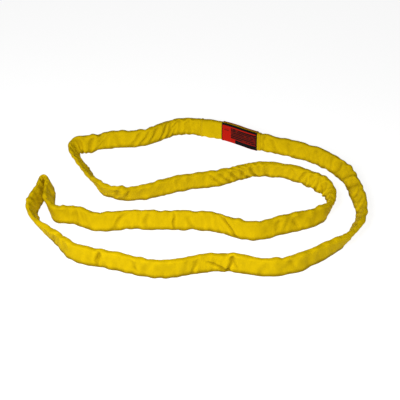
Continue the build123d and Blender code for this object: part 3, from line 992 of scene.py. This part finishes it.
s = np.linspace(s_at(CUFF[0]), s_at(CUFF[1]), CUFF_ROWS)
u = np.arange(AROUND * 2) / (AROUND * 2)
s, u = np.meshgrid(s, u, indexing="ij")
from_edge = np.minimum(s - s[0, 0], s[-1, 0] - s)
hem = smooth_step(1 - (from_edge - HEM_WIDTH) / HEM_RAMP)
lip = 1 - LIP_THINNER * smooth_step(1 - from_edge / LIP_WIDTH)
outer = raised(cover, s, u, (CUFF_OUTER + HEM_RISE * hem) * lip)
inner = raised(cover, s, u, np.full(s.shape, CUFF_INNER))
points, faces = shell(outer, inner, True)
uv = np.concatenate([np.stack([s, u * GIRTH], -1).reshape(-1, 2)] * 2)
cuff = mesh_object("overlap_cuff", points, faces, [COVER_FABRIC], uvs=uv, painted_shade=np.zeros(len(points)))
attach(cuff, "mid_section", ["cover_overlap_cuff"])


def tag_sheet(name, layer, around, side, mats, pattern, cad):
    """A sheet of the tag, wrapped round the strand, its cells coloured by a pattern of (across, down)."""
    s0, s1 = s_at(TAG[0] + side), s_at(TAG[1] - side)
    rows = int(round((s1 - s0) / CELL)) + 1
    columns = int(round((around[1] - around[0]) * GIRTH / CELL)) + 1
    s, u = np.meshgrid(np.linspace(s0, s1, rows), np.linspace(*around, columns), indexing="ij")
    edge = np.minimum.reduce([s - s0, s1 - s, (u - around[0]) * GIRTH, (around[1] - u) * GIRTH])
    curl = CURL * np.exp(-edge / CURL_WIDTH)
    wave = TAG_WAVE * np.sin(s / TAG_WAVE_LENGTH + 3 * u) * np.sin(u * TAG_WAVES_ROUND + 2)
    outer = raised(nominal, s, u, layer[0] + curl + wave)
    inner = raised(nominal, s, u, layer[1] + curl + wave)
    points, faces = shell(outer, inner, False)
    across = (np.arange(rows - 1) + 0.5) / (rows - 1)
    middle = (u[0, 1:] + u[0, :-1]) / 2
    down = (middle - TAG_FACE_AROUND[0]) / (TAG_FRONT_BOTTOM - TAG_FACE_AROUND[0])
    chosen = pattern(*np.meshgrid(across, down, indexing="ij"))
    index = np.zeros(len(faces), int)
    index[: chosen.size] = chosen.ravel()
    obj = mesh_object(name, points, faces, mats, face_materials=index)
    attach(obj, "mid_section", [cad])


RED, MAROON, BLACK = 0, 1, 2
PRINT_SEED = 3
PRINT_LINES, PRINT_WORDS, WORD_SHIFT = 16, 26, 0.37
MOST_WORDS, MOST_LINES, BLANK_SHARE = 200, 60, 0.16
# Parts of the print, as shares of the panel's front: left, right, top, bottom
PRINT_BLOCK = (0.26, 1, 0.04, 0.80)
PRINT_HEADING = (0.06, 0.20, 0.16, 0.34)
PRINT_STRIP = (0.40, 1, 0.83, 1.1)


def printed(across, down):
    """Generic print: a dark block of short bars on red, and a black strip along the bottom."""

    def within(box):
        left, right, top, bottom = box
        return (across > left) & (across < right) & (down > top) & (down < bottom)

    random = np.random.default_rng(PRINT_SEED)
    line = np.floor(down * PRINT_LINES).astype(int)
    word = np.floor(across * PRINT_WORDS + line * WORD_SHIFT).astype(int)
    place = np.clip(word, 0, MOST_WORDS - 1), np.clip(line, 0, MOST_LINES - 1)
    blank = random.random((MOST_WORDS, MOST_LINES))[place] < BLANK_SHARE
    block = within(PRINT_BLOCK)
    chosen = np.full(across.shape, RED)
    chosen[block] = MAROON
    chosen[block & (line % 2 == 1) & ~blank] = BLACK
    chosen[within(PRINT_HEADING) & (line % 2 == 0)] = MAROON
    chosen[within(PRINT_STRIP)] = BLACK
    return chosen


def plain(across, down):
    return np.zeros(across.shape, int)


tag_sheet(
    "tag_backing_sheet", TAG_BACKING, TAG_BACKING_AROUND, 0, [TAG_BLACK], plain,
    "tag_backing",
)
tag_sheet(
    "tag_printed_panel", TAG_FACE, TAG_FACE_AROUND, TAG_SIDE, [TAG_RED, TAG_MAROON, TAG_BLACK], printed,
    "tag_face",
)


def stitch_rows(name, places, around, grid, offset, mat, cad):
    """Rows of short stitches round the strand, one row at each x."""
    count = int((around[1] - around[0]) * GIRTH / (STITCH + STITCH_GAP))
    pitch = (around[1] - around[0]) / count
    share = STITCH / (STITCH + STITCH_GAP)
    turns = 2 * np.pi * np.arange(STITCH_SIDES) / STITCH_SIDES
    ends = np.array(STITCH_PROFILE)
    points, faces = [], []
    for x in places:
        for k in range(count):
            u = around[0] + pitch * (k + share * np.linspace(0, 1, len(ends)))
            s = np.full(len(ends), s_at(x))
            line = raised(grid, s, u, np.full(len(ends), offset) + STITCH_RISE * ends)
            side, rise = on_grid(BAND.along[:, None], s, s * 0), on_grid(out, s, u)
            ring = (
                line[:, None]
                + (STITCH_RADIUS * ends[:, None] * np.cos(turns))[..., None] * side[:, None]
                + (STITCH_RADIUS * ends[:, None] * np.sin(turns))[..., None] * rise[:, None]
            )
            faces.append(tube_faces(len(ends), len(turns), len(points) * len(ends) * len(turns)))
            points.append(ring.reshape(-1, 3))
    obj = mesh_object(name, np.concatenate(points), np.concatenate(faces), [mat])
    attach(obj, "mid_section", [cad])


edges = (CUFF[0] + SEAM_INSET, CUFF[1] - SEAM_INSET)
stitch_rows(
    "cuff_stitches", edges, (0, 1), cover, CUFF_OUTER + HEM_RISE + CUFF_STITCH_LIFT, THREAD,
    "cuff_stitching",
)
edges = (TAG[0] + TAG_SIDE / 2 + TAG_STITCH_INSET, TAG[1] - TAG_SIDE / 2 - TAG_STITCH_INSET)
stitch_rows(
    "tag_stitches", edges, TAG_BACKING_AROUND, nominal, TAG_BACKING[0] + TAG_STITCH_LIFT, BLACK_THREAD,
    "tag_stitching",
)

band_x, band_y = BAND.xy.T
rows = np.nonzero((band_y > BACK_STRAND_FROM_Y) & (band_x > TAPE[0]) & (band_x < TAPE[1]))[0]
tape = COARSE - TAPE_INSET * COARSE_OUT
tape = mesh_object("core_tape", tape[rows].reshape(-1, 3), tube_faces(len(rows), AROUND), [CORE_TAPE])
attach(tape, "mid_section", ["core_end_tape"])

# ---------------------------------------------------------------- floor, light and camera

LOOK_AT = (0.008, 0.001, 0.0)
ELEVATION = math.radians(40)
DISTANCE = 3.2272
FOCAL_MM, SENSOR_MM = 120, 36
FLOOR_SIZE, FLOOR_Z = 30, -0.0004
FLOOR_GREY, FLOOR_ROUGHNESS, FLOOR_GLOW = 0.25, 0.9, 0.86
WORLD_STRENGTH = 0.05
# Name, place, size, watts
LIGHTS = [
    ("left_light", (-0.95, -0.80, 0.85), 0.4, 10),
    ("right_light", (0.60, -0.95, 0.85), 0.4, 6),
    ("front_light", (-0.25, -0.95, 1.10), 0.5, 14),
]

bpy.ops.mesh.primitive_plane_add(size=FLOOR_SIZE, location=(0, 0, FLOOR_Z))
floor = bpy.context.object
floor.name = "floor"
paper, _, _, shader = material("white_floor", (FLOOR_GREY,) * 3, FLOOR_ROUGHNESS)
shader.inputs["Emission Color"].default_value = (1, 1, 1, 1)
shader.inputs["Emission Strength"].default_value = FLOOR_GLOW
floor.data.materials.append(paper)


def area_light(name, place, size, watts):
    """A round light aimed at the origin."""
    light = bpy.data.lights.new(name, "AREA")
    light.shape = "DISK"
    light.size = size
    light.energy = watts
    obj = bpy.data.objects.new(name, light)
    bpy.context.scene.collection.objects.link(obj)
    obj.location = place
    obj.rotation_euler = (-Vector(place)).to_track_quat("-Z", "Y").to_euler()


for light in LIGHTS:
    area_light(*light)

world = bpy.data.worlds.new("studio")
bpy.context.scene.world = world
world.use_nodes = True
world.node_tree.nodes["Background"].inputs["Color"].default_value = (1, 1, 1, 1)
world.node_tree.nodes["Background"].inputs["Strength"].default_value = WORLD_STRENGTH

camera = bpy.data.cameras.new("camera")
camera.lens = FOCAL_MM
camera.sensor_width = SENSOR_MM
camera_object = bpy.data.objects.new("camera", camera)
bpy.context.scene.collection.objects.link(camera_object)
camera_object.location = (
    LOOK_AT[0], LOOK_AT[1] - DISTANCE * math.cos(ELEVATION), LOOK_AT[2] + DISTANCE * math.sin(ELEVATION),
)
camera_object.rotation_euler = (math.pi / 2 - ELEVATION, 0, 0)
bpy.context.scene.camera = camera_object
bpy.context.scene.view_settings.view_transform = "Standard"
